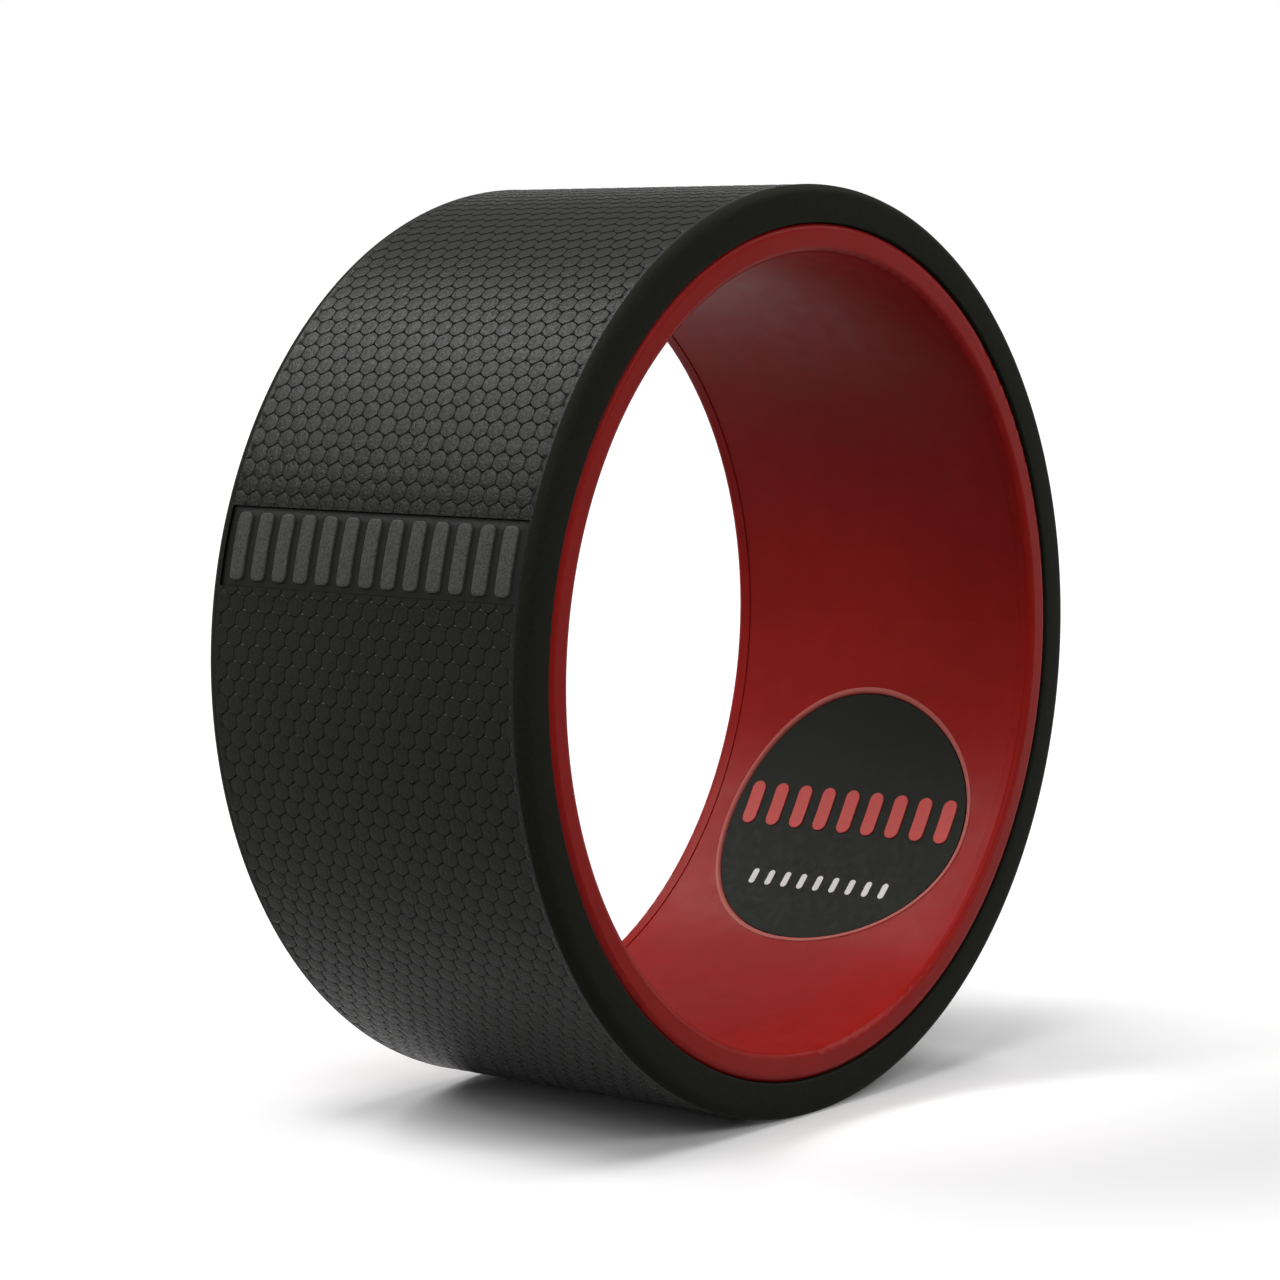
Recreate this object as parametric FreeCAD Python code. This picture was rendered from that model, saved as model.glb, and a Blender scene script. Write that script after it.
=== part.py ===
import FreeCAD, Part
import math
import os

from FreeCAD import Vector

# A yoga wheel: a hollow plastic hoop, closed by two clipped-on rim rings and wrapped in a padded tread.
# Millimetres. The origin is the wheel's centre, its axle line is Y, and Z points up.
# Angles are in degrees about the axle line, from +X towards +Z.

# Wheel
WHEEL_DIAMETER = 320.0
WHEEL_WIDTH = 136.0
TREAD_DEPTH = 13.0  # padding outside the hoop
HOOP_DEPTH = 10.0  # hollow hoop, from its outside to its bore
CONTACT_FLAT = 0.5  # how deep the tread is pressed flat where the wheel stands

# Drum, the hoop's ribbed outer wall
DRUM_WALL = 2.8
RIB_COUNT = 24
RIB_THICKNESS = 2.4
RIB_PLAY = 0.1  # between a rib and the liner
ROOT = 0.5  # how deep a rib, rail, lip, clip, hook or bar is rooted in what carries it

# Liner, the hoop's inner wall
LINER_WALL = 2.6
LINER_SINK = 0.4  # from the rim rings' bore down to the liner's
EDGE_BREAK = 0.1  # bevel of liner and rim rings along their joint
KEYED_RIB_COUNT = 3  # ribs that stand between two rails of the liner
RAIL_THICKNESS = 1.6
RAIL_HEIGHT = 2.0
RAIL_PLAY = 0.2

# Rim rings
RIM_INSET = 0.2  # from the tread's side plane to the ring's face
RIM_THICKNESS = 5.8
RIM_LIP = 3.3  # thickness of the full-width lip, outside the groove
GROOVE_DEPTH = 2.0
RIM_BORE_ROUND = 2.4
RIM_LIP_ROUND = 3.0

# Clips of the rim rings, with hooks that snap into windows in the drum
CLIP_COUNT = 12
CLIP_WIDTH = 18.0
CLIP_LENGTH = 10.0
CLIP_PLAY = 0.1  # to the drum
CLIP_LINER_GAP = 0.8
CLIP_RIB_GAP = 1.0
HOOK_WIDTH = 10.0
HOOK_START = 3.5  # from the ring's seat to the hook's catch
HOOK_LENGTH = 4.0
HOOK_RECESS = 0.6  # from the drum's outside down to the hook's crest
HOOK_CREST_SHARE = 0.3  # of the hook's length, before its ramp
WINDOW_PLAY = 0.2

# Tread: cushion and cover, with a glue film on each side of the cushion
HOOP_GLUE = 0.3
SKIN_GLUE = 0.3
COVER_SKIN = 3.5
SHOULDER_ROUND = 4.0
COVER_EDGE_ROUND = 0.8
BEAD_PLAY = 0.1
BEAD_ROUND = 0.4

# Panel in the tread, with a row of raised bars
PANEL_ANGLE = 165.2
PANEL_HEIGHT = 27.0
PANEL_MARGIN = 4.5  # from the tread's side plane to the panel's pocket
PANEL_SINK = 1.0  # from the tread down to the panel's floor
PANEL_BASE = 1.2
PANEL_GLUE = 0.2
PANEL_PLAY = 0.15
BAR_COUNT = 13
BAR_GAP = 3.4
BAR_MARGIN = 3.5  # from the panel's end to its first bar
BAR_INSET = 2.0  # from the pocket's long sides to the bars' ends
BAR_CORNER = 2.0

# Badge in the bore, with a raised and a printed row of pills
BADGE_ANGLE = -35.0
BADGE_MARGIN = 10.0  # from the hoop's ends to the badge
BADGE_THICKNESS = 1.0
BADGE_PAD = 0.4
BADGE_SINK = 0.2  # from the liner's bore down to the badge's face
BADGE_PLAY = 0.4  # gap round the badge
BADGE_LIP_WIDTH = 2.0  # raised lip round the badge, as high as the rim rings' bore
BADGE_LIP_ROUND_SHARE = 0.9  # of the lip's height
BADGE_MOUTH_ROUND = 1.1
PILL_COUNT = 9
RED_PILL_WIDTH = 6.0
RED_PILL_HEIGHT = 18.0
RED_PILL_THICKNESS = 0.45
RED_PILL_ROUND = 0.2
RED_MARGIN = 5.0  # how much shorter half the row is than the badge's radius
RED_RISE = 6.0  # from the badge's middle up to the row's middle
WHITE_PILL_WIDTH = 2.6
WHITE_PILL_HEIGHT = 7.0
WHITE_PILL_THICKNESS = 0.1
WHITE_MARGIN = 21.1
WHITE_DROP = 26.0  # from the badge's middle down to the row's middle

OVERRUN = 2.0  # how far a cutting shape runs past what it cuts
SAME_POINT = 1e-6

# Radii, from the tread inwards
TREAD_R = WHEEL_DIAMETER / 2
SKIN_R = TREAD_R - COVER_SKIN
HOOP_R = TREAD_R - TREAD_DEPTH
DRUM_R = HOOP_R - DRUM_WALL
BORE_R = HOOP_R - HOOP_DEPTH
LINER_BORE_R = BORE_R + LINER_SINK
LINER_R = LINER_BORE_R + LINER_WALL
GROOVE_R = HOOP_R - GROOVE_DEPTH
CLIP_R = DRUM_R - CLIP_PLAY
HOOK_R = HOOP_R - HOOK_RECESS
PANEL_R = TREAD_R - PANEL_SINK
PANEL_SEAT_R = PANEL_R - PANEL_BASE
POCKET_R = PANEL_SEAT_R - PANEL_GLUE
BADGE_R = LINER_BORE_R + BADGE_SINK
BADGE_SEAT_R = BADGE_R + BADGE_THICKNESS
RECESS_R = BADGE_SEAT_R + BADGE_PAD

# Places along the axle line, from the middle outwards
SIDE_Y = WHEEL_WIDTH / 2
RIM_Y = SIDE_Y - RIM_INSET
HOOP_Y = RIM_Y - RIM_THICKNESS
LIP_Y = RIM_Y - RIM_LIP
RIB_Y = HOOP_Y - CLIP_LENGTH - CLIP_RIB_GAP
CATCH_Y = HOOP_Y - HOOK_START
RAMP_Y = CATCH_Y - HOOK_LENGTH
POCKET_Y = SIDE_Y - PANEL_MARGIN
PANEL_Y = POCKET_Y - PANEL_PLAY
BADGE_HALF = HOOP_Y - BADGE_MARGIN
MOUTH_HALF = BADGE_HALF + BADGE_PLAY
LIP_HALF = MOUTH_HALF + BADGE_LIP_WIDTH

CENTRE = Vector(0, 0, 0)
AXLE = Vector(0, -1, 0)  # turns +X towards +Z
MIRROR = Vector(0, 1, 0)
FULL_TURN = 360
ACROSS = Vector(1, 0, 0)
ALONG = Vector(0, 1, 0)
UP = Vector(0, 0, 1)


def rounded_face(corners, first, second):
    """Flat face through corners (a, b, radius), with a along first and b along second."""
    starts, arcs, ends = [], [], []
    points = [first * a + second * b for a, b, radius in corners]
    for i, (a, b, radius) in enumerate(corners):
        corner = points[i]
        back = (points[i - 1] - corner).normalize()
        ahead = (points[(i + 1) % len(points)] - corner).normalize()
        half = back.getAngle(ahead) / 2
        reach = radius / math.tan(half)
        start = corner + back * reach
        end = corner + ahead * reach
        if radius > 0:
            middle = corner + (back + ahead).normalize() * (radius / math.sin(half) - radius)
            arcs.append(Part.Arc(start, middle, end).toShape())
        else:
            arcs.append(None)
        starts.append(start)
        ends.append(end)
    edges = []
    for i, arc in enumerate(arcs):
        following = starts[(i + 1) % len(starts)]
        if arc:
            edges.append(arc)
        if ends[i].distanceToPoint(following) > SAME_POINT:
            edges.append(Part.LineSegment(ends[i], following).toShape())
    return Part.Face(Part.Wire(edges))


def turned(shape, angle):
    """Copy of a shape, turned about the axle line."""
    copy = shape.copy()
    copy.rotate(CENTRE, AXLE, angle)
    return copy


def arc_angle(length, radius):
    """Angle that a length takes up along a circle."""
    return math.degrees(length / radius)


def ring(corners):
    """Solid of revolution from corners (radius, y, corner radius)."""
    return rounded_face(corners, ACROSS, ALONG).revolve(CENTRE, AXLE, FULL_TURN)


def sector(corners, span, middle):
    """Piece of a ring that spans an angle, centred on another."""
    piece = rounded_face(corners, ACROSS, ALONG).revolve(CENTRE, AXLE, span)
    return turned(piece, middle - span / 2)


def rectangle(inner, outer, low, high):
    """Plain corners of a ring's section."""
    return [(inner, low, 0), (outer, low, 0), (outer, high, 0), (inner, high, 0)]


def tube(inner, outer, half_length):
    return ring(rectangle(inner, outer, -half_length, half_length))


def upright_patch(shell, width, height, corner, y, angle):
    """Part of a shell inside an upright rounded rectangle, which faces the axle line."""
    left, right = y - width / 2, y + width / 2
    low, high = -height / 2, height / 2
    corners = [(left, low, corner), (right, low, corner), (right, high, corner), (left, high, corner)]
    prism = rounded_face(corners, ALONG, UP).extrude(ACROSS * (TREAD_R + OVERRUN))
    return shell.common(turned(prism, angle)).Solids[0]


def round_patch(shell, radius):
    """Part of a shell inside a round prism at the badge's place."""
    prism = Part.makeCylinder(radius, HOOP_R, CENTRE, ACROSS)
    return shell.common(turned(prism, BADGE_ANGLE)).Solids[0]


def mouth_edges(wall):
    """Edges of the badge's recess along the crest of its lip."""
    outward = turned(Part.Vertex(ACROSS), BADGE_ANGLE).Point
    found = []
    for edge in wall.Edges:
        point = edge.Vertexes[0].Point
        aside = (point - outward * point.dot(outward)).Length
        at_crest = abs(math.hypot(point.x, point.z) - BORE_R) < SAME_POINT
        if at_crest and abs(aside - MOUTH_HALF) < SAME_POINT:
            found.append(edge)
    return found


def soften(solid, radius, edge_round):
    """Solid with rounded edges round its face at a radius of the wheel."""
    for face in solid.Faces:
        if isinstance(face.Surface, Part.Cylinder) and abs(face.Surface.Radius - radius) < SAME_POINT:
            return solid.makeFillet(edge_round, face.Edges)


def row_places(count, width, half_length):
    """Middles of the pieces in a centred row, whose end pieces reach its ends."""
    reach = half_length - width / 2
    return [reach * (2 * i / (count - 1) - 1) for i in range(count)]


def fin(inner, outer, side, thickness, angle):
    """Straight fin along the hoop, from one radius to another, whose near flank is beside a radial line."""
    box = Part.makeBox(outer - inner, 2 * RIB_Y, thickness, Vector(inner, -RIB_Y, side))
    return turned(box, angle)


def rib_angle(i):
    return (i + 1 / 2) * FULL_TURN / RIB_COUNT


def clip_angles():
    return [i * FULL_TURN / CLIP_COUNT for i in range(CLIP_COUNT)]


def make_drum():
    """Outer wall of the hoop, with ribs inside it and a window for each clip."""
    wall = tube(DRUM_R, HOOP_R, HOOP_Y)
    ribs = [
        fin(LINER_R + RIB_PLAY, DRUM_R + ROOT, -RIB_THICKNESS / 2, RIB_THICKNESS, rib_angle(i))
        for i in range(RIB_COUNT)
    ]
    section = rectangle(DRUM_R - OVERRUN, HOOP_R + OVERRUN, RAMP_Y - WINDOW_PLAY, CATCH_Y + WINDOW_PLAY)
    span = arc_angle(HOOK_WIDTH + 2 * WINDOW_PLAY, CLIP_R)
    windows = [sector(section, span, angle) for angle in clip_angles()]
    windows += [window.mirror(CENTRE, MIRROR) for window in windows]
    return wall.fuse(ribs).cut(windows).removeSplitter()


def make_liner():
    """Inner wall of the hoop, keyed to some ribs by rails, with a lipped recess for the badge."""
    wall = ring([
        (LINER_BORE_R, EDGE_BREAK - HOOP_Y, 0),
        (LINER_BORE_R + EDGE_BREAK, -HOOP_Y, 0),
        (LINER_R, -HOOP_Y, 0),
        (LINER_R, HOOP_Y, 0),
        (LINER_BORE_R + EDGE_BREAK, HOOP_Y, 0),
        (LINER_BORE_R, HOOP_Y - EDGE_BREAK, 0),
    ])
    lip = round_patch(tube(BORE_R, LINER_BORE_R + ROOT, HOOP_Y), LIP_HALF)
    lip = soften(lip, BORE_R, LINER_SINK * BADGE_LIP_ROUND_SHARE)
    recess = round_patch(tube(BORE_R - OVERRUN, RECESS_R, HOOP_Y), MOUTH_HALF)
    wall = wall.fuse(lip).cut(recess)
    wall = wall.makeFillet(BADGE_MOUTH_ROUND, mouth_edges(wall))
    beside = RIB_THICKNESS / 2 + RAIL_PLAY
    rails = []
    for i in range(KEYED_RIB_COUNT):
        angle = rib_angle(i * RIB_COUNT // KEYED_RIB_COUNT)
        for side in (beside, -beside - RAIL_THICKNESS):
            rails.append(fin(LINER_R - ROOT, LINER_R + RAIL_HEIGHT, side, RAIL_THICKNESS, angle))
    return wall.fuse(rails).removeSplitter()


def make_rim_ring():
    """Ring that closes the hoop's rear side, with clips that reach in between drum and liner."""
    flange = ring([
        (BORE_R, RIM_Y, RIM_BORE_ROUND),
        (BORE_R, HOOP_Y + EDGE_BREAK, 0),
        (BORE_R + EDGE_BREAK, HOOP_Y, 0),
        (GROOVE_R, HOOP_Y, 0),
        (GROOVE_R, LIP_Y, 0),
        (HOOP_R, LIP_Y, 0),
        (HOOP_R, RIM_Y, RIM_LIP_ROUND),
    ])
    finger = rectangle(LINER_R + CLIP_LINER_GAP, CLIP_R, HOOP_Y - CLIP_LENGTH, HOOP_Y + ROOT)
    hook = [
        (CLIP_R - ROOT, CATCH_Y, 0),
        (HOOK_R, CATCH_Y, 0),
        (HOOK_R, CATCH_Y - HOOK_LENGTH * HOOK_CREST_SHARE, 0),
        (CLIP_R - ROOT, RAMP_Y, 0),
    ]
    clips = []
    for angle in clip_angles():
        clips.append(sector(finger, arc_angle(CLIP_WIDTH, CLIP_R), angle))
        clips.append(sector(hook, arc_angle(HOOK_WIDTH, CLIP_R), angle))
    return flange.fuse(clips).removeSplitter()


def make_cover():
    """Moulded sleeve round the cushion, hooked behind both rim rings by its beads."""
    rear = [
        (SKIN_R, HOOP_Y, 0),
        (HOOP_R, HOOP_Y, 0),
        (HOOP_R, HOOP_Y + BEAD_PLAY, 0),
        (GROOVE_R, HOOP_Y + BEAD_PLAY, BEAD_ROUND),
        (GROOVE_R, LIP_Y - BEAD_PLAY, BEAD_ROUND),
        (HOOP_R, LIP_Y - BEAD_PLAY, 0),
        (HOOP_R, SIDE_Y, COVER_EDGE_ROUND),
        (TREAD_R, SIDE_Y, SHOULDER_ROUND),
    ]
    front = [(radius, -y, corner) for radius, y, corner in reversed(rear)]
    sleeve = ring(rear + front)
    floor = Part.makeBox(
        WHEEL_DIAMETER,
        WHEEL_WIDTH + 2 * OVERRUN,
        CONTACT_FLAT + OVERRUN,
        Vector(-TREAD_R, -SIDE_Y - OVERRUN, -TREAD_R - OVERRUN),
    )
    section = rectangle(POCKET_R, TREAD_R + OVERRUN, -POCKET_Y, POCKET_Y)
    pocket = sector(section, arc_angle(PANEL_HEIGHT, TREAD_R), PANEL_ANGLE)
    return sleeve.cut([floor, pocket])


def panel_layer(inner, outer):
    """Layer of the panel's stack, a little smaller than its pocket."""
    span = arc_angle(PANEL_HEIGHT - 2 * PANEL_PLAY, TREAD_R)
    return sector(rectangle(inner, outer, -PANEL_Y, PANEL_Y), span, PANEL_ANGLE)


def make_panel():
    """Smooth inlay with a row of raised bars that reach the tread's own height."""
    half_row = PANEL_Y - BAR_MARGIN
    width = (2 * half_row + BAR_GAP) / BAR_COUNT - BAR_GAP
    height = PANEL_HEIGHT - 2 * BAR_INSET
    shell = tube(PANEL_R - ROOT, TREAD_R, PANEL_Y)
    bars = [
        upright_patch(shell, width, height, BAR_CORNER, y, PANEL_ANGLE)
        for y in row_places(BAR_COUNT, width, half_row)
    ]
    return panel_layer(PANEL_SEAT_R, PANEL_R).fuse(bars).removeSplitter()


def make_pills(width, height, thickness, margin, rise):
    """Row of upright pills on the badge's face."""
    film = tube(BADGE_R - thickness, BADGE_R, HOOP_Y)
    angle = BADGE_ANGLE + arc_angle(rise, BADGE_R)
    return [
        upright_patch(film, width, height, width / 2, y, angle)
        for y in row_places(PILL_COUNT, width, BADGE_HALF - margin)
    ]


def make_badge_layer(inner, outer):
    return round_patch(tube(inner, outer, HOOP_Y), BADGE_HALF)


rim_ring = make_rim_ring()
red_pills = make_pills(RED_PILL_WIDTH, RED_PILL_HEIGHT, RED_PILL_THICKNESS, RED_MARGIN, RED_RISE)
red_pills = [soften(pill, BADGE_R - RED_PILL_THICKNESS, RED_PILL_ROUND) for pill in red_pills]
white_pills = make_pills(
    WHITE_PILL_WIDTH, WHITE_PILL_HEIGHT, WHITE_PILL_THICKNESS, WHITE_MARGIN, -WHITE_DROP
)
nodes = {
    "drum": make_drum(),
    "liner": make_liner(),
    "rim_ring_front": rim_ring.mirror(CENTRE, MIRROR),
    "rim_ring_rear": rim_ring,
    "hoop_adhesive": tube(HOOP_R, HOOP_R + HOOP_GLUE, HOOP_Y),
    "cushion": tube(HOOP_R + HOOP_GLUE, SKIN_R - SKIN_GLUE, HOOP_Y),
    "skin_adhesive": tube(SKIN_R - SKIN_GLUE, SKIN_R, HOOP_Y),
    "tread_cover": make_cover(),
    "panel_adhesive": panel_layer(POCKET_R, PANEL_SEAT_R),
    "tread_panel": make_panel(),
    "badge_pad": make_badge_layer(BADGE_SEAT_R, RECESS_R),
    "badge_disc": make_badge_layer(BADGE_R, BADGE_SEAT_R),
    "badge_mark_red": Part.makeCompound(red_pills),
    "badge_mark_white": Part.makeCompound(white_pills),
}

os.makedirs("parts", exist_ok=True)
for name, shape in nodes.items():
    shape.exportStep(f"parts/{name}.step")
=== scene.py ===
import math
from collections import namedtuple

import bmesh
import bpy
from mathutils import Matrix, Vector
from mathutils.geometry import delaunay_2d_cdt


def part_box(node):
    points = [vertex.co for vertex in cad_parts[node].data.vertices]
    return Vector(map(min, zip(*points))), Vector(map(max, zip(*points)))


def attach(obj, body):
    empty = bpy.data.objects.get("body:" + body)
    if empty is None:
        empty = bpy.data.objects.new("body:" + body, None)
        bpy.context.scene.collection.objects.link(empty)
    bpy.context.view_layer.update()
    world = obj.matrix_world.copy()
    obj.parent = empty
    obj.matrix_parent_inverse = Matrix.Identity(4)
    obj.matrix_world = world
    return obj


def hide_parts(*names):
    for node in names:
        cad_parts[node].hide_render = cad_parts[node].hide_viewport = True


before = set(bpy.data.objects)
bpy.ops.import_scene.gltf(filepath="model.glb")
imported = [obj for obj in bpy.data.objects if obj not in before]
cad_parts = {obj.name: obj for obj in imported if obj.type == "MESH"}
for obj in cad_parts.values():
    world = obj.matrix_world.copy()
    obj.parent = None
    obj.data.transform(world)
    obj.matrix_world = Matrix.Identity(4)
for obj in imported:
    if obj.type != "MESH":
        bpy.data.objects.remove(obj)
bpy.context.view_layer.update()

# Sizes from the solids
cover_low, cover_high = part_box("tread_cover")
TREAD_R, SIDE_Y, FLOOR_Z = cover_high.x, cover_high.y, cover_low.z
HOOP_R, HOOP_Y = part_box("drum")[1].x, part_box("drum")[1].y
SKIN_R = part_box("skin_adhesive")[1].x
CUSHION_R, CUSHION_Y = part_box("cushion")[1].x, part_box("cushion")[1].y
GLUE_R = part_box("hoop_adhesive")[1].x
RIM_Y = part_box("rim_ring_rear")[1].y
PANEL_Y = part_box("tread_panel")[1].y

# Tread cover
SHOULDER_ROUND = 0.004
EDGE_ROUND = 0.0008  # where the side wall meets the rim ring
RIM_LIP = 0.0033  # thickness of the rim ring outside the cover's bead
BEAD_DEPTH = 0.002
BEAD_PLAY = 0.0001
COVER_CREASE = math.radians(30)  # edges that bend more than this stay crisp

# Scales of the tread
SCALE_PITCH = 0.0065
SCALE_ROWS = 178
ROW_SHARE = 1.5  # pitch of a honeycomb's rows, as a share of a cell's reach
GROOVE_DEPTH = 0.00045
TILT_DROP = 0.0002
EDGE_DROP = 0.00006
EDGE_CORNER_SHARE = 0.875
EDGE_MIDDLE_SHARE = 0.95
CREST_SHARE = 0.6
FADE_WIDTH = 0.002

# Panel in the tread
PANEL_ANGLE = math.radians(165.2)
PANEL_HEIGHT = 0.027
PANEL_PLAY = 0.00015
PANEL_SINK = 0.001
PANEL_BASE = 0.0012
PANEL_GLUE = 0.0002
PANEL_CREASE = math.radians(60)
BAR_COUNT = 13
BAR_GAP = 0.0034
BAR_MARGIN = 0.0035
BAR_INSET = 0.002
BAR_CORNER = 0.002
# Loops up a bar's side: inset from its outline and share of its height
BAR_LOOPS = ((-0.00025, 0.0), (0.0, 0.12), (0.00012, 0.78), (0.0003, 0.94), (0.0006, 1.0))

# Pocket that the panel is glued into
POCKET_R = TREAD_R - PANEL_SINK - PANEL_BASE - PANEL_GLUE
POCKET_Y = PANEL_Y + PANEL_PLAY
POCKET_SPAN = PANEL_HEIGHT / TREAD_R
POCKET_END = PANEL_ANGLE + POCKET_SPAN / 2

# Lip round the badge, along which a highlight is painted
BADGE_ANGLE = math.radians(-35)
LIP_INSIDE = 0.0525
LIP_OUTSIDE = 0.0545
LIP_FADE = 0.0003

# Cushion
CUSHION_ROUND = 0.001

# Meshes
FULL_TURN = 2 * math.pi
TURN_STEPS = 288
ROUND_STEPS = 6
PANEL_STEPS = 12
BAR_CORNER_STEPS = 5
BAR_SIDE_STEPS = 8
KEY_DIGITS = 6  # points of neighbouring scales that agree to this many digits are one
CUT_TOLERANCE = 1e-7
BORDER_TOLERANCE = 1e-6
PLAN_TOLERANCE = 1e-7
MERGE_DISTANCE = 1e-8

# Surfaces. A grain is (noise scale, first colour, last colour), a polish is (noise scale, least roughness,
# most roughness), and a relief is layers of (noise scale, depth), the coarsest first. Colours are screen
# values from 0 to 255, and noise scales are per metre.
Surface = namedtuple("Surface", "name specular grain polish relief")
TREAD_SURFACE = Surface(
    name="black_elastomer",
    specular=0.115,
    grain=(900, (13, 14, 11), (24, 25, 21)),
    polish=(900, 0.2, 0.44),
    relief=((900, 0.00014), (3000, 0.00004)),
)
WALL_SURFACE = Surface(
    name="black_elastomer_smooth",
    specular=0.02,
    grain=(700, (33, 34, 28), (37, 38, 32)),
    polish=(700, 0.45, 0.55),
    relief=((2500, 0.00002),),
)
PANEL_SURFACE = Surface(
    name="black_elastomer_grained",
    specular=0.1,
    grain=(1300, (58, 58, 56), (84, 84, 81)),
    polish=(700, 0.38, 0.5),
    relief=((1500, 0.00006), (3500, 0.00003)),
)
LINER_SURFACE = Surface(
    name="red_satin_plastic",
    specular=0.1,
    grain=(90, (156, 26, 22), (162, 28, 24)),
    polish=(120, 0.34, 0.42),
    relief=((900, 0.00001),),
)
RIM_SURFACE = Surface(
    name="red_satin_rim",
    specular=0.09,
    grain=LINER_SURFACE.grain,
    polish=(120, 0.36, 0.42),
    relief=LINER_SURFACE.relief,
)
DRUM_SURFACE = Surface(
    name="dark_moulded_plastic",
    specular=0.3,
    grain=(200, (38, 38, 38), (46, 46, 46)),
    polish=(200, 0.45, 0.6),
    relief=((1200, 0.00002),),
)
BADGE_SURFACE = Surface(
    name="dark_matt_plastic",
    specular=0.1,
    grain=(300, (31, 33, 28), (35, 37, 32)),
    polish=(300, 0.52, 0.66),
    relief=((1800, 0.00002),),
)
RED_PRINT_SURFACE = Surface(
    name="red_print",
    specular=0.2,
    grain=(300, (200, 72, 66), (208, 78, 72)),
    polish=(300, 0.42, 0.52),
    relief=((2000, 0.00001),),
)
WHITE_PRINT_SURFACE = Surface(
    name="white_print",
    specular=0.2,
    grain=(300, (236, 236, 236), (244, 244, 244)),
    polish=(300, 0.45, 0.55),
    relief=((2000, 0.00001),),
)
FOAM_SURFACE = Surface(
    name="closed_cell_foam",
    specular=0.1,
    grain=(900, (52, 52, 52), (68, 68, 68)),
    polish=(500, 0.85, 0.95),
    relief=((1500, 0.0002),),
)
GLUE_SURFACE = Surface(
    name="glue_film",
    specular=0.3,
    grain=(300, (186, 176, 150), (200, 190, 165)),
    polish=(200, 0.45, 0.65),
    relief=((500, 0.00003),),
)
# painted shade: the scale grooves are coloured dark where shade would fall in them
GROOVE_PAINTED_SHADE = (8, 8, 7)
# painted shade on the panel's recessed floor
PANEL_FLOOR_PAINTED_SHADE = (28, 28, 27)
# painted highlight along the lip round the badge
LIP_PAINTED_HIGHLIGHT = (190, 104, 96)
GROOVE_SHADE_SHARES = (0.9, 0.5)  # of the groove's depth, where its painted shade ends
PANEL_SHADE_SHARES = (0.8, 0.2)  # of the panel's sink, where its floor's painted shade ends
GRAIN_SPAN = (0.35, 0.65)  # noise values that give the first and the last colour
POLISH_SPAN = (0.3, 0.7)  # noise values that give the least and the most roughness
SURFACE_DETAIL = 3.0  # of the noise in grain and polish
RELIEF_DETAIL = 2.0

# Camera, fitted to the photograph; its azimuth is from -Y towards +X
CAMERA_AT = Vector((-1.0140, -0.7755, 0.1266))
CAMERA_AZIMUTH = math.radians(-52.22)
CAMERA_ELEVATION = math.radians(5.62)
CAMERA_LENS = 102.04
CAMERA_SENSOR = 36.0
CAMERA_NEAR = 0.01
CAMERA_FAR = 100

# Light: name, azimuth from +X towards +Y, elevation, level on a white floor and spread; angles in degrees
LAMPS = (
    ("top", 190, 72, 0.28, 25),
    ("strip_high", 88, 53, 0.1, 16),
    ("strip_middle", 108, 49, 0.1, 16),
    ("strip_low", 129, 40, 0.13, 18),
    ("left", 160, 18, 0.045, 60),
    ("front_left", 226, 34, 0.12, 26),
    ("front_low", 290, 26, 0.06, 14),
    ("right", 345, 40, 0.1, 30),
)
SKY_LIGHT = 0.02
SKY_BANDS = ((0.12, 1.0), (0.32, 0.25), (0.5, 0.25), (0.75, 1.0))  # sine of the elevation, brightness

# Floor, which glows a little away from the wheel
FLOOR_SIZE = 60
FLOOR_WHITE = 1.0
FLOOR_BOUNCE = 0.18  # how white the floor is for the light that it throws back
FLOOR_GLOW = 0.22
FLOOR_GLOW_FROM = (0.085, 0.055, 0.0)  # half sizes of the box under the wheel that doesn't glow
FLOOR_GLOW_REACH = 0.035
WHITE = (1.0, 1.0, 1.0, 1.0)


def on_wheel(y, angle, radius):
    """Point on the wheel, pressed flat where it would go through the floor."""
    return Vector((radius * math.cos(angle), y, max(radius * math.sin(angle), FLOOR_Z)))


def arc_points(middle, radius, start, end, steps):
    """Points of an arc in a plane, from one angle in degrees to another."""
    turns = [math.radians(start + (end - start) * i / steps) for i in range(steps + 1)]
    return [(middle[0] + radius * math.cos(t), middle[1] + radius * math.sin(t)) for t in turns]


def zip_chains(first, second):
    """Triangles between two chains of (place, vertex number), both in order of place."""
    faces, i, j = [], 0, 0
    while i < len(first) - 1 or j < len(second) - 1:
        at_end = j == len(second) - 1
        if at_end or (i < len(first) - 1 and first[i + 1][0] <= second[j + 1][0]):
            faces.append((first[i][1], first[i + 1][1], second[j][1]))
            i += 1
        else:
            faces.append((first[i][1], second[j + 1][1], second[j][1]))
            j += 1
    return faces


def join_rings(rings):
    """Faces between closed rings of vertex numbers, from each ring to the next."""
    faces = []
    for one, other in zip(rings, rings[1:]):
        for i in range(TURN_STEPS):
            j = (i + 1) % TURN_STEPS
            faces.append((one[i], one[j], other[j], other[i]))
    return faces


class Shape:
    """Points and faces of a mesh in the making."""

    def __init__(self):
        self.points = []
        self.faces = []

    def add(self, y, angle, radius):
        """Adds a point on the wheel and returns its number."""
        self.points.append(on_wheel(y, angle, radius))
        return len(self.points) - 1


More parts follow.
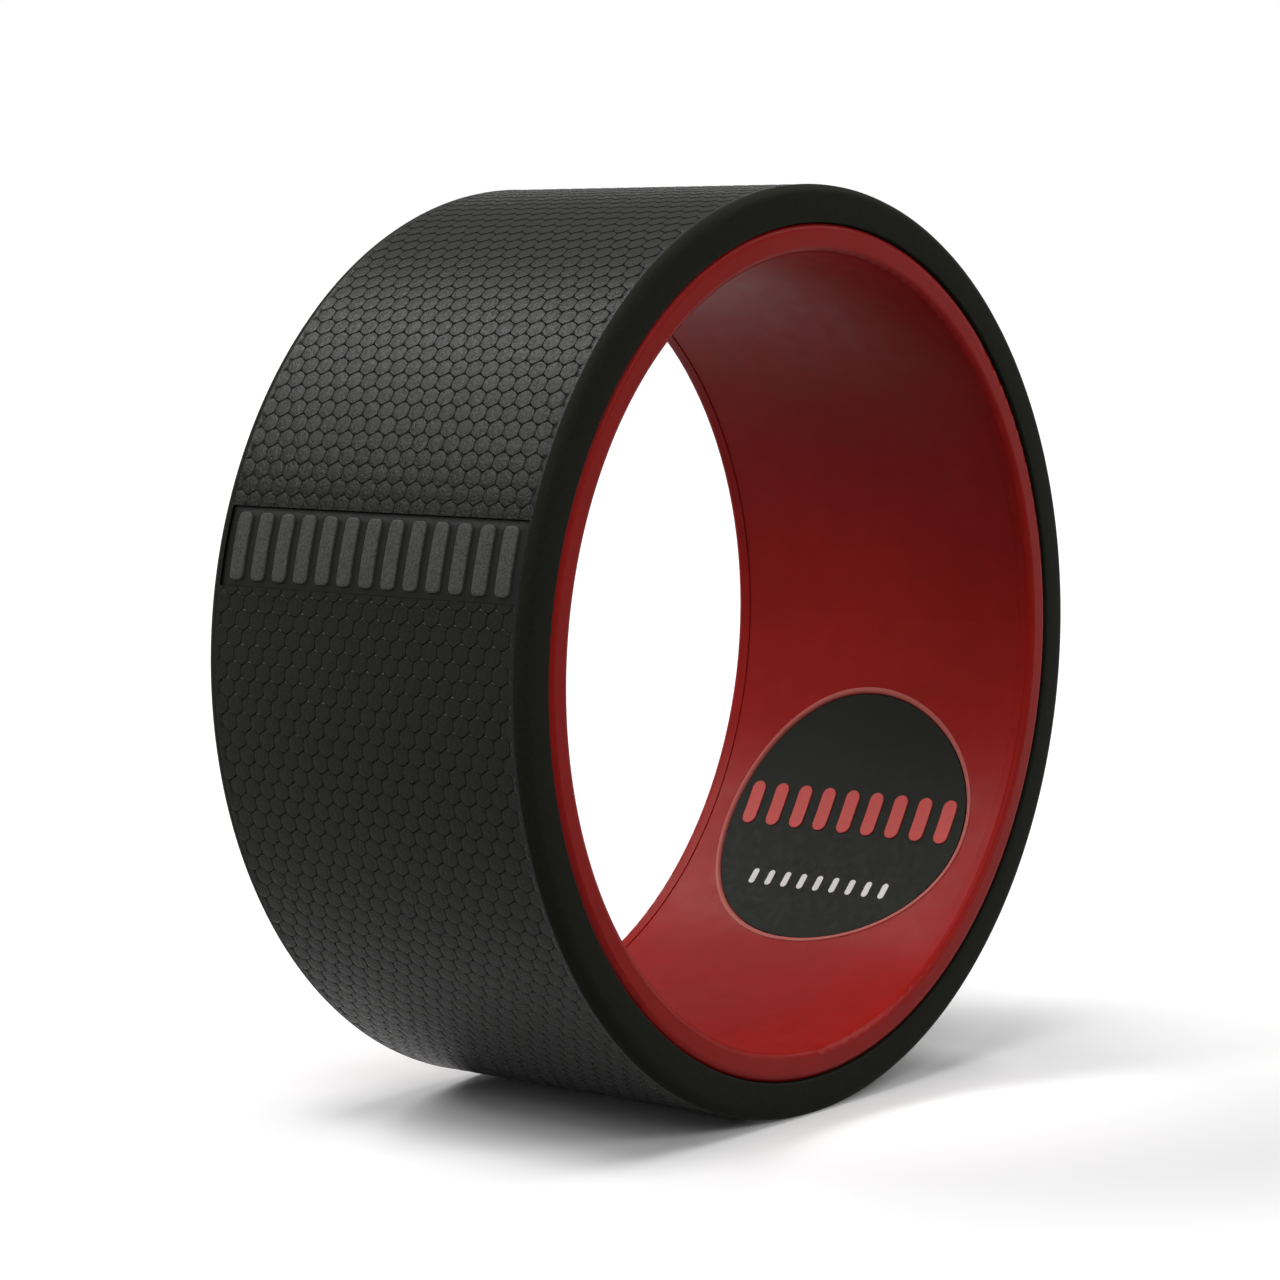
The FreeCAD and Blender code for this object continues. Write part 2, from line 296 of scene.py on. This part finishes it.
def new_piece(name, shape, node):
    """Smooth mesh object that stands for a solid and rides with the wheel."""
    mesh = bpy.data.meshes.new(name)
    mesh.from_pydata(shape.points, [], shape.faces)
    work = bmesh.new()
    work.from_mesh(mesh)
    bmesh.ops.remove_doubles(work, verts=work.verts, dist=MERGE_DISTANCE)
    bmesh.ops.recalc_face_normals(work, faces=work.faces)
    work.to_mesh(mesh)
    work.free()
    mesh.shade_smooth()
    piece = bpy.data.objects.new(name, mesh)
    bpy.context.scene.collection.objects.link(piece)
    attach(piece, "root")
    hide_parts(node)
    return piece


def scale_outline(row_pitch):
    """Corners and side middles of one hexagonal scale, in (y, along the tread)."""
    reach = row_pitch / ROW_SHARE
    half = SCALE_PITCH / 2
    left = [(-half, reach / 2), (-half, -reach / 2)]
    right = [(half, -reach / 2), (half, reach / 2)]
    corners = [(0, reach)] + left + [(0, -reach)] + right
    outline = []
    for i, corner in enumerate(corners):
        following = corners[(i + 1) % len(corners)]
        outline.append(corner)
        outline.append(((corner[0] + following[0]) / 2, (corner[1] + following[1]) / 2))
    return outline


def side_fade(y):
    """1 on the tread, falling to 0 where the scales run out at the shoulders."""
    share = min(max((POCKET_Y - abs(y)) / FADE_WIDTH, 0), 1)
    return share * share * (3 - 2 * share)


def add_scale(sheet, grooves, outline, middle):
    """Adds one scale: its groove, which neighbours share, its edge, its crest and its top."""
    reach = outline[0][1]

    def groove_vertex(place):
        y, along = middle[0] + place[0], middle[1] + place[1]
        key = (round(y, KEY_DIGITS), round(along, KEY_DIGITS))
        if key not in grooves:
            grooves[key] = sheet.verts.new((y, along, -GROOVE_DEPTH * side_fade(y)))
        return grooves[key]

    def own_vertex(place, share, drop):
        y, along = middle[0] + place[0] * share, middle[1] + place[1] * share
        tilt = TILT_DROP * (1 - place[1] * share / reach) / 2
        return sheet.verts.new((y, along, -(drop + tilt) * side_fade(y)))

    edge_shares = (EDGE_CORNER_SHARE, EDGE_MIDDLE_SHARE)
    groove = [groove_vertex(place) for place in outline]
    edge = [own_vertex(place, edge_shares[i % 2], EDGE_DROP) for i, place in enumerate(outline)]
    crest = [own_vertex(place, CREST_SHARE, 0) for place in outline[::2]]
    top = own_vertex((0, 0), 1, 0)
    count = len(outline)
    for i in range(count):
        j = (i + 1) % count
        sheet.faces.new((groove[i], groove[j], edge[j], edge[i]))
    for i, here in enumerate(crest):
        near, mid, far = edge[2 * i], edge[2 * i + 1], edge[(2 * i + 2) % count]
        there = crest[(i + 1) % len(crest)]
        sheet.faces.new((near, mid, here))
        sheet.faces.new((mid, there, here))
        sheet.faces.new((mid, far, there))
        sheet.faces.new((here, there, top))


def scale_sheet(start, end):
    """Flat sheet of scales between two places along the tread, cut straight on all sides."""
    row_pitch = FULL_TURN * TREAD_R / SCALE_ROWS
    outline = scale_outline(row_pitch)
    sheet = bmesh.new()
    grooves = {}
    columns = math.ceil(POCKET_Y / SCALE_PITCH) + 1
    for row in range(math.floor(start / row_pitch) - 1, math.ceil(end / row_pitch) + 2):
        shift = SCALE_PITCH / 2 * (row % 2)
        for column in range(-columns, columns + 1):
            add_scale(sheet, grooves, outline, (column * SCALE_PITCH + shift, row * row_pitch))
    cuts = (
        ((POCKET_Y, 0, 0), (1, 0, 0)),
        ((-POCKET_Y, 0, 0), (-1, 0, 0)),
        ((0, end, 0), (0, 1, 0)),
        ((0, start, 0), (0, -1, 0)),
    )
    for place, outward in cuts:
        everything = sheet.verts[:] + sheet.edges[:] + sheet.faces[:]
        bmesh.ops.bisect_plane(
            sheet, geom=everything, dist=CUT_TOLERANCE, plane_co=place, plane_no=outward, clear_outer=True
        )
    sheet.verts.index_update()
    return sheet


def sheet_border(sheet, axis, value):
    """Chain of a sheet's vertices on one of its straight sides."""
    found = [v for v in sheet.verts if abs(v.co[axis] - value) < BORDER_TOLERANCE]
    return [(v.co[1 - axis], v.index) for v in sorted(found, key=lambda v: v.co[1 - axis])]


def cover_section():
    """Section of the cover's rear half in (radius, y), from the shoulder to the inside of the skin."""
    groove_r = HOOP_R - BEAD_DEPTH
    lip_y = RIM_Y - RIM_LIP - BEAD_PLAY
    bead_y = HOOP_Y + BEAD_PLAY
    shoulder = (TREAD_R - SHOULDER_ROUND, SIDE_Y - SHOULDER_ROUND)
    edge = (HOOP_R + EDGE_ROUND, SIDE_Y - EDGE_ROUND)
    section = arc_points(shoulder, SHOULDER_ROUND, 0, 90, ROUND_STEPS)
    section += arc_points(edge, EDGE_ROUND, 90, 180, ROUND_STEPS)
    section += [(HOOP_R, lip_y), (groove_r, lip_y), (groove_r, bead_y), (HOOP_R, bead_y)]
    section += [(HOOP_R, HOOP_Y), (SKIN_R, HOOP_Y)]
    return section


def add_pocket(shape, sides, ends, start, end):
    """Adds the pocket's walls and floor, and closes the tread's side chains past the pocket."""
    steps = [end + POCKET_SPAN * TREAD_R * i / PANEL_STEPS for i in range(1, PANEL_STEPS)]
    rims, floors, feet = {}, {}, []
    for side, chain in sides.items():
        y = side * POCKET_Y
        rims[side] = [(along, shape.add(y, along / TREAD_R, TREAD_R)) for along in steps]
        floors[side] = [(along, shape.add(y, along / TREAD_R, POCKET_R)) for along in steps]
        closing = chain[0][0] + FULL_TURN * TREAD_R
        sides[side] = chain + rims[side] + [(closing, chain[0][1])]
    for chain, along in zip(ends, (end, start)):
        foot = [(y, shape.add(y, along / TREAD_R, POCKET_R)) for y, number in chain]
        shape.faces += zip_chains(chain, foot)
        feet.append(foot)
    for side in sides:
        last = -1 if side > 0 else 0
        top = [ends[0][last]] + rims[side] + [ends[1][last]]
        low = [feet[0][last]] + floors[side] + [feet[1][last]]
        for i in range(len(top) - 1):
            shape.faces.append((top[i][1], top[i + 1][1], low[i + 1][1], low[i][1]))
    across = [[(-POCKET_Y, floors[-1][i][1]), (POCKET_Y, floors[1][i][1])] for i in range(len(steps))]
    shape.faces += zip_chains(feet[0], across[0])
    shape.faces += zip_chains(feet[1], across[-1])
    for one, other in zip(across, across[1:]):
        shape.faces.append((one[0][1], one[1][1], other[1][1], other[0][1]))


def add_walls(shape, sides):
    """Adds the cover's shoulders, side walls, beads and inside."""
    turns = [POCKET_END + FULL_TURN * i / TURN_STEPS for i in range(TURN_STEPS)]
    places = [turn * TREAD_R for turn in turns]
    section = cover_section()
    rings = {}
    for side, chain in sides.items():
        rings[side] = [[shape.add(side * y, turn, radius) for turn in turns] for radius, y in section]
        shoulder = rings[side][0]
        closed = list(zip(places, shoulder)) + [(places[0] + FULL_TURN * TREAD_R, shoulder[0])]
        shape.faces += zip_chains(chain, closed)
    shape.faces += join_rings(rings[1] + rings[-1][::-1])


def make_cover():
    """Tread cover with its scales, shoulders, side walls, beads and the panel's pocket."""
    start = POCKET_END * TREAD_R
    end = (POCKET_END - POCKET_SPAN + FULL_TURN) * TREAD_R
    sheet = scale_sheet(start, end)
    shape = Shape()
    for v in sheet.verts:
        shape.add(v.co.x, v.co.y / TREAD_R, TREAD_R + v.co.z)
    shape.faces += [tuple(v.index for v in face.verts) for face in sheet.faces]
    sides = {side: sheet_border(sheet, 0, side * POCKET_Y) for side in (1, -1)}
    ends = sheet_border(sheet, 1, end), sheet_border(sheet, 1, start)
    sheet.free()
    add_pocket(shape, sides, ends, start, end)
    add_walls(shape, sides)
    cover = new_piece("tread_cover_scaled", shape, "tread_cover")
    cover.data.set_sharp_from_angle(angle=COVER_CREASE)
    return cover


def rounded_rectangle(half_width, half_height, corner):
    """Closed outline in (y, along the tread), with points down its long sides."""
    outline = []
    for x_sign, y_sign, start in ((1, 1, 0), (-1, 1, 90), (-1, -1, 180), (1, -1, 270)):
        middle = (x_sign * (half_width - corner), y_sign * (half_height - corner))
        outline += arc_points(middle, corner, start, start + 90, BAR_CORNER_STEPS)
    filled = []
    for i, point in enumerate(outline):
        following = outline[(i + 1) % len(outline)]
        filled.append(point)
        if abs(following[1] - point[1]) > 2 * corner:
            for step in range(1, BAR_SIDE_STEPS):
                share = step / BAR_SIDE_STEPS
                filled.append((point[0], point[1] + (following[1] - point[1]) * share))
    return filled


def panel_loops():
    """Loops of (y, along the tread, height) on the panel: its rim, and those up each bar's side."""
    half_along = PANEL_HEIGHT / 2 - PANEL_PLAY
    half_row = PANEL_Y - BAR_MARGIN
    half_width = ((2 * half_row + BAR_GAP) / BAR_COUNT - BAR_GAP) / 2
    half_height = PANEL_HEIGHT / 2 - BAR_INSET
    rim = [(PANEL_Y, half_along * (2 * i / PANEL_STEPS - 1), 0.0) for i in range(PANEL_STEPS + 1)]
    rim += [(-y, -along, height) for y, along, height in rim]
    loops = [rim]
    for bar in range(BAR_COUNT):
        middle = (half_row - half_width) * (2 * bar / (BAR_COUNT - 1) - 1)
        for inset, share in BAR_LOOPS:
            outline = rounded_rectangle(half_width - inset, half_height - inset, BAR_CORNER - inset)
            loops.append([(y + middle, along, share * PANEL_SINK) for y, along in outline])
    return loops


def add_sheet(shape, loops, floor_r):
    """Adds a sheet of triangles between loops and returns the numbers of the first loop's points."""
    flat = [point for loop in loops for point in loop]
    borders, start = [], 0
    for loop in loops:
        numbers = range(start, start + len(loop))
        borders += [(numbers[i - 1], numbers[i]) for i in range(len(loop))]
        start += len(loop)
    plan = delaunay_2d_cdt([Vector(point[:2]) for point in flat], borders, [], 0, PLAN_TOLERANCE)
    places, faces, origins = plan[0], plan[2], plan[3]
    base = len(shape.points)
    number_of = {}
    for (y, along), found in zip(places, origins):
        number = shape.add(y, PANEL_ANGLE + along / TREAD_R, floor_r + flat[found[0]][2])
        number_of.update((origin, number) for origin in found)
    shape.faces += [tuple(base + number for number in face) for face in faces]
    return [number_of[i] for i in range(len(loops[0]))]


def make_panel():
    """Smooth inlay with raised bars, all with softened edges."""
    loops = panel_loops()
    floor_r = TREAD_R - PANEL_SINK
    shape = Shape()
    top = add_sheet(shape, loops, floor_r)
    foot = add_sheet(shape, loops[:1], floor_r - PANEL_BASE)
    for i in range(len(top)):
        shape.faces.append((top[i - 1], top[i], foot[i], foot[i - 1]))
    panel = new_piece("tread_panel_moulded", shape, "tread_panel")
    panel.data.set_sharp_from_angle(angle=PANEL_CREASE)
    return panel


def make_cushion():
    """Foam ring with softened edges."""
    low, high = GLUE_R + CUSHION_ROUND, CUSHION_R - CUSHION_ROUND
    half = CUSHION_Y - CUSHION_ROUND
    section = []
    for middle, start in (((high, half), 0), ((low, half), 90), ((low, -half), 180), ((high, -half), 270)):
        section += arc_points(middle, CUSHION_ROUND, start, start + 90, ROUND_STEPS)
    turns = [FULL_TURN * i / TURN_STEPS for i in range(TURN_STEPS)]
    shape = Shape()
    rings = [[shape.add(y, turn, radius) for turn in turns] for radius, y in section]
    shape.faces += join_rings(rings + rings[:1])
    return new_piece("cushion_foam", shape, "cushion")


def linear(value):
    """Linear light of a screen value from 0 to 255, by the sRGB curve."""
    share = value / 255
    return share / 12.92 if share <= 0.04045 else ((share + 0.055) / 1.055) ** 2.4


def srgb(colour):
    """Shader colour of a screen colour."""
    return tuple(linear(value) for value in colour) + (1.0,)


class Tree:
    """Nodes of a material or of the world."""

    def __init__(self, owner):
        owner.use_nodes = True
        self.nodes = owner.node_tree.nodes
        self.links = owner.node_tree.links

    def feed(self, socket, value):
        """Gives a socket a plain value or another node's output."""
        if isinstance(value, bpy.types.NodeSocket):
            self.links.new(value, socket)
        else:
            socket.default_value = value

    def coordinates(self, kind):
        """Output of one kind of texture coordinates."""
        return self.nodes.new("ShaderNodeTexCoord").outputs[kind]

    def span(self, source, low, high, first=0.0, last=1.0):
        """Value from first to last as a source goes from low to high."""
        node = self.nodes.new("ShaderNodeMapRange")
        values = {"Value": source, "From Min": low, "From Max": high, "To Min": first, "To Max": last}
        for name, value in values.items():
            self.feed(node.inputs[name], value)
        return node.outputs["Result"]

    def combine(self, operation, *sources):
        """Values taken together by one operation."""
        result = sources[0]
        for source in sources[1:]:
            node = self.nodes.new("ShaderNodeMath")
            node.operation = operation
            self.links.new(result, node.inputs[0])
            self.links.new(source, node.inputs[1])
            result = node.outputs[0]
        return result

    def vector(self, operation, first, second=None):
        """Node of vector arithmetic."""
        node = self.nodes.new("ShaderNodeVectorMath")
        node.operation = operation
        self.links.new(first, node.inputs[0])
        if second:
            node.inputs[1].default_value = second
        return node

    def beyond(self, half_sizes):
        """Distance from a box round the object's middle."""
        past = self.vector("ABSOLUTE", self.coordinates("Object")).outputs["Vector"]
        past = self.vector("SUBTRACT", past, half_sizes).outputs["Vector"]
        past = self.vector("MAXIMUM", past, (0, 0, 0)).outputs["Vector"]
        return self.vector("LENGTH", past).outputs["Value"]

    def seen_directly(self):
        """1 for what the camera, a reflection or a clear piece sees, and 0 for other light."""
        path = self.nodes.new("ShaderNodeLightPath")
        rays = ("Is Camera Ray", "Is Glossy Ray", "Is Transmission Ray")
        return self.combine("MAXIMUM", *(path.outputs[name] for name in rays))


class Finish(Tree):
    """Principled material of a surface, with noise on the object's own coordinates."""

    def __init__(self, surface):
        self.material = bpy.data.materials.new(surface.name)
        super().__init__(self.material)
        self.place = self.coordinates("Object")
        self.shader = self.nodes["Principled BSDF"]
        self.shader.inputs["Specular IOR Level"].default_value = surface.specular
        self.face = self.grain(*surface.grain)
        self.colour(self.face)
        self.polish(*surface.polish)
        self.relief(surface.relief)

    def noise(self, scale, detail):
        """Value of noise, mostly near a half."""
        node = self.nodes.new("ShaderNodeTexNoise")
        node.inputs["Scale"].default_value = scale
        node.inputs["Detail"].default_value = detail
        self.links.new(self.place, node.inputs["Vector"])
        return node.outputs["Fac"]

    def mix(self, share, first, last):
        """Colour from first to last as a share goes from 0 to 1."""
        node = self.nodes.new("ShaderNodeMix")
        node.data_type = "RGBA"
        for name, value in {"Factor": share, "A": first, "B": last}.items():
            self.feed(node.inputs[name], value)
        return node.outputs["Result"]

    def grain(self, scale, first, last):
        """Colour that noise blends from two screen colours."""
        share = self.span(self.noise(scale, SURFACE_DETAIL), *GRAIN_SPAN)
        return self.mix(share, srgb(first), srgb(last))

    def colour(self, source):
        """Gives the material a colour, in place of any before it."""
        self.links.new(source, self.shader.inputs["Base Color"])

    def polish(self, scale, least, most):
        """Gives the material a roughness that noise blends."""
        roughness = self.span(self.noise(scale, SURFACE_DETAIL), *POLISH_SPAN, least, most)
        self.links.new(roughness, self.shader.inputs["Roughness"])

    def relief(self, layers):
        """Gives the material bump layers, each on top of the one before."""
        normal = None
        for scale, depth in layers:
            node = self.nodes.new("ShaderNodeBump")
            node.inputs["Distance"].default_value = depth
            self.links.new(self.noise(scale, RELIEF_DETAIL), node.inputs["Height"])
            if normal:
                self.links.new(normal, node.inputs["Normal"])
            normal = node.outputs["Normal"]
        self.links.new(normal, self.shader.inputs["Normal"])

    def from_line(self, direction):
        """Distance from a line through the wheel's middle."""
        across = self.vector("CROSS_PRODUCT", self.place, direction)
        return self.vector("LENGTH", across.outputs["Vector"]).outputs["Value"]

    def along(self, direction):
        """Distance along a line through the wheel's middle."""
        return self.vector("DOT_PRODUCT", self.place, direction).outputs["Value"]

    def paint_shade_below(self, colour, depth, shares):
        """Paints shade on what lies below the tread: a colour that ends between two shares of a depth."""
        radius = self.from_line((0, 1, 0))
        rise = self.span(radius, *(TREAD_R - depth * share for share in shares))
        self.colour(self.mix(rise, srgb(colour), self.face))


def tread_finish():
    """Black elastomer: grained scales, with painted shade in the grooves between them."""
    finish = Finish(TREAD_SURFACE)
    # paints shade into the grooves between the scales
    finish.paint_shade_below(GROOVE_PAINTED_SHADE, GROOVE_DEPTH, GROOVE_SHADE_SHARES)
    return finish


def panel_finish():
    """Black elastomer: lighter bars, and painted shade on the recessed floor between them."""
    finish = Finish(PANEL_SURFACE)
    # paints shade onto the panel's recessed floor
    finish.paint_shade_below(PANEL_FLOOR_PAINTED_SHADE, PANEL_SINK, PANEL_SHADE_SHARES)
    return finish


def liner_finish():
    """Satin red plastic, with a painted highlight along the lip round the badge."""
    finish = Finish(LINER_SURFACE)
    towards = (math.cos(BADGE_ANGLE), 0, math.sin(BADGE_ANGLE))
    off = finish.from_line(towards)
    lip = finish.combine(
        "MULTIPLY",
        finish.span(off, LIP_INSIDE - LIP_FADE, LIP_INSIDE),
        finish.span(off, LIP_OUTSIDE - LIP_FADE, LIP_OUTSIDE, 1.0, 0.0),
        finish.span(finish.along(towards), 0, TREAD_R / 2),
    )
    # paints the highlight along the lip
    finish.colour(finish.mix(lip, finish.face, srgb(LIP_PAINTED_HIGHLIGHT)))
    return finish


def make_finishes():
    """Finish of each node, and of the cover's walls."""
    rim = Finish(RIM_SURFACE)
    glue = Finish(GLUE_SURFACE)
    return {
        "liner": liner_finish(),
        "rim_ring_front": rim,
        "rim_ring_rear": rim,
        "drum": Finish(DRUM_SURFACE),
        "badge_disc": Finish(BADGE_SURFACE),
        "badge_mark_red": Finish(RED_PRINT_SURFACE),
        "badge_mark_white": Finish(WHITE_PRINT_SURFACE),
        "hoop_adhesive": glue,
        "skin_adhesive": glue,
        "panel_adhesive": glue,
        "badge_pad": glue,
        "tread_cover": tread_finish(),
        "walls": Finish(WALL_SURFACE),
        "tread_panel": panel_finish(),
        "cushion": Finish(FOAM_SURFACE),
    }


def dress(piece, finish):
    """Gives a piece one finish."""
    piece.data.materials.clear()
    piece.data.materials.append(finish.material)


def dress_walls(cover, finish):
    """Gives the cover's shoulders and side walls a finish of their own."""
    cover.data.materials.append(finish.material)
    for polygon in cover.data.polygons:
        if abs(polygon.center.y) > SIDE_Y - SHOULDER_ROUND:
            polygon.material_index = 1


def soft_sun(name, azimuth, elevation, level, spread):
    """Even soft light from a direction, with the level that it gives a floor."""
    a, e = math.radians(azimuth), math.radians(elevation)
    towards = Vector((math.cos(a) * math.cos(e), math.sin(a) * math.cos(e), math.sin(e)))
    lamp = bpy.data.lights.new(name, "SUN")
    lamp.energy = level * math.pi / math.sin(e)
    lamp.angle = math.radians(spread)
    holder = bpy.data.objects.new(name, lamp)
    holder.rotation_mode = "QUATERNION"
    holder.rotation_quaternion = (-towards).to_track_quat("-Z", "Y")
    bpy.context.scene.collection.objects.link(holder)


def grey(brightness):
    """Colour without a hue."""
    return (brightness,) * 3 + (1.0,)


def make_sky():
    """White surroundings with a grey band, which give little light of their own."""
    world = bpy.data.worlds.new("studio")
    bpy.context.scene.world = world
    tree = Tree(world)
    split = tree.nodes.new("ShaderNodeSeparateXYZ")
    tree.links.new(tree.coordinates("Generated"), split.inputs[0])
    bands = tree.nodes.new("ShaderNodeValToRGB")
    tree.links.new(split.outputs["Z"], bands.inputs["Fac"])
    stops = bands.color_ramp.elements
    stops.remove(stops[1])
    stops[0].position = SKY_BANDS[0][0]
    stops[0].color = grey(SKY_BANDS[0][1])
    for height, brightness in SKY_BANDS[1:]:
        stops.new(height).color = grey(brightness)
    sky = tree.nodes["Background"]
    sky.inputs["Color"].default_value = WHITE
    strength = tree.span(tree.seen_directly(), 0.0, 1.0, SKY_LIGHT, bands.outputs["Color"])
    tree.links.new(strength, sky.inputs["Strength"])


def make_floor():
    """White floor that keeps the wheel's shadow and throws little light back."""
    bpy.ops.mesh.primitive_plane_add(size=FLOOR_SIZE, location=(0, 0, FLOOR_Z))
    floor = bpy.context.object
    floor.name = "floor"
    paint = bpy.data.materials.new("white_floor")
    floor.data.materials.append(paint)
    tree = Tree(paint)
    shader = tree.nodes["Principled BSDF"]
    shader.inputs["Roughness"].default_value = 1.0
    shader.inputs["Specular IOR Level"].default_value = 0.0
    shader.inputs["Emission Color"].default_value = WHITE
    seen = tree.seen_directly()
    white = tree.span(seen, 0.0, 1.0, FLOOR_BOUNCE, FLOOR_WHITE)
    tree.links.new(white, shader.inputs["Base Color"])
    glow = tree.span(tree.beyond(FLOOR_GLOW_FROM), 0.0, FLOOR_GLOW_REACH, 0.0, FLOOR_GLOW)
    tree.links.new(tree.span(seen, 0.0, 1.0, 0.0, glow), shader.inputs["Emission Strength"])


def make_camera():
    """Camera that sees the wheel as the photograph does."""
    a, e = CAMERA_AZIMUTH, CAMERA_ELEVATION
    back = Vector((math.sin(a) * math.cos(e), -math.cos(a) * math.cos(e), math.sin(e)))
    right = Vector((math.cos(a), math.sin(a), 0))
    up = back.cross(right)
    lens = bpy.data.cameras.new("camera")
    lens.lens = CAMERA_LENS
    lens.sensor_width = CAMERA_SENSOR
    lens.clip_start = CAMERA_NEAR
    lens.clip_end = CAMERA_FAR
    camera = bpy.data.objects.new("camera", lens)
    camera.matrix_world = Matrix.Translation(CAMERA_AT) @ Matrix((right, up, back)).transposed().to_4x4()
    bpy.context.scene.collection.objects.link(camera)
    bpy.context.scene.camera = camera


finishes = make_finishes()
for node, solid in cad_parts.items():
    dress(solid, finishes[node])
soft_pieces = {"tread_cover": make_cover(), "tread_panel": make_panel(), "cushion": make_cushion()}
for node, piece in soft_pieces.items():
    dress(piece, finishes[node])
dress_walls(soft_pieces["tread_cover"], finishes["walls"])
make_sky()
make_floor()
for lamp in LAMPS:
    soft_sun(*lamp)
make_camera()
bpy.context.scene.view_settings.view_transform = "Standard"
